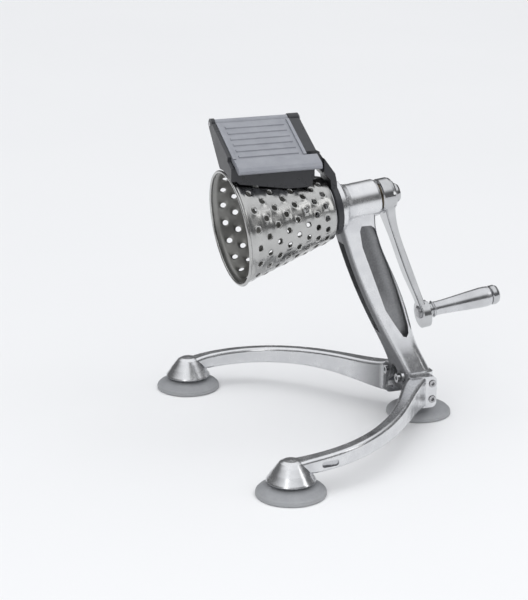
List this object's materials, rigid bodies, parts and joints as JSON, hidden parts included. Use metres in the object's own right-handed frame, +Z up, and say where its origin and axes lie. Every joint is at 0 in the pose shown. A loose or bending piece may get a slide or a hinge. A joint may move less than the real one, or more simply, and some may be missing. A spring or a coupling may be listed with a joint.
{
  "type": "rotary cone food shredder",
  "caption": "Hand-cranked cone food shredder: perforated steel cone on a leaning column with curved legs on suction-cup feet, black side-opening hopper and crank.",
  "frame": {"origin": "on the floor under the centre of the bounding box", "axes": "+Z up, -X towards the mouth of the cone, +X towards the crank, +Y the side the hopper leans to; its lid lifts from -Y"},
  "size_m": [0.3095, 0.364, 0.3048],
  "materials": {
    "cast_metal": "polished casting",
    "polished_steel": "polished",
    "spun_steel": "bright spun stainless steel",
    "turned_steel": "turned",
    "bush_bronze": "plain",
    "black_plastic": "moulded, satin gloss",
    "guard_plastic": "moulded, ribbed",
    "grey_rubber": "moulded",
    "handle_metal": "polished"
  },
  "bodies": {
    "stand": {"stand_column": "cast_metal", "leg_near": "cast_metal", "leg_far": "cast_metal", "front_bush": "bush_bronze", "rear_bush": "bush_bronze", "leg_bolts": "turned_steel", "tie_screws": "polished_steel", "foot_studs": "turned_steel", "foot_nuts": "turned_steel", "cup_near": "grey_rubber", "cup_far": "grey_rubber", "cup_rear": "grey_rubber", "hopper": "black_plastic", "hopper_screws": "turned_steel", "hinge_pin": "turned_steel"},
    "rotor": {"drive_shaft": "turned_steel", "drive_head": "turned_steel", "drive_pin": "turned_steel", "thrust_washer": "turned_steel", "crank_arm": "polished_steel", "crank_washer": "turned_steel", "crank_cap": "polished_steel", "handle_spindle": "turned_steel", "handle_ferrule": "polished_steel", "handle_cap": "polished_steel"},
    "grip": {"handle_grip": "handle_metal"},
    "cone_set": {"cone": "spun_steel", "cone_hub": "turned_steel", "cone_rivets": "turned_steel", "cone_knob": "polished_steel"},
    "guard": {"guard_lid": "guard_plastic", "presser_block": "black_plastic", "presser_screws": "turned_steel"}
  },
  "joints": [
    {"name": "crank_spin", "type": "hinge", "parent": "stand", "child": "rotor", "pos_m": [0.0372, 0, 0.227], "axis": [0.9925, 0, 0.1219], "continuous": true},
    {"name": "grip_spin", "type": "hinge", "parent": "rotor", "child": "grip", "pos_m": [0.05249, 0, 0.10244], "axis": [0.9925, 0, 0.1219], "continuous": true},
    {"name": "cone_release", "type": "slide", "parent": "rotor", "child": "cone_set", "axis": [-0.9925, 0, -0.1219], "range_m": [0, 0.12]},
    {"name": "guard_lift", "type": "hinge", "parent": "stand", "child": "guard", "pos_m": [-0.0858, 0.0338, 0.2998], "axis": [-1, 0, 0], "range_deg": [0, 100]}
  ]
}
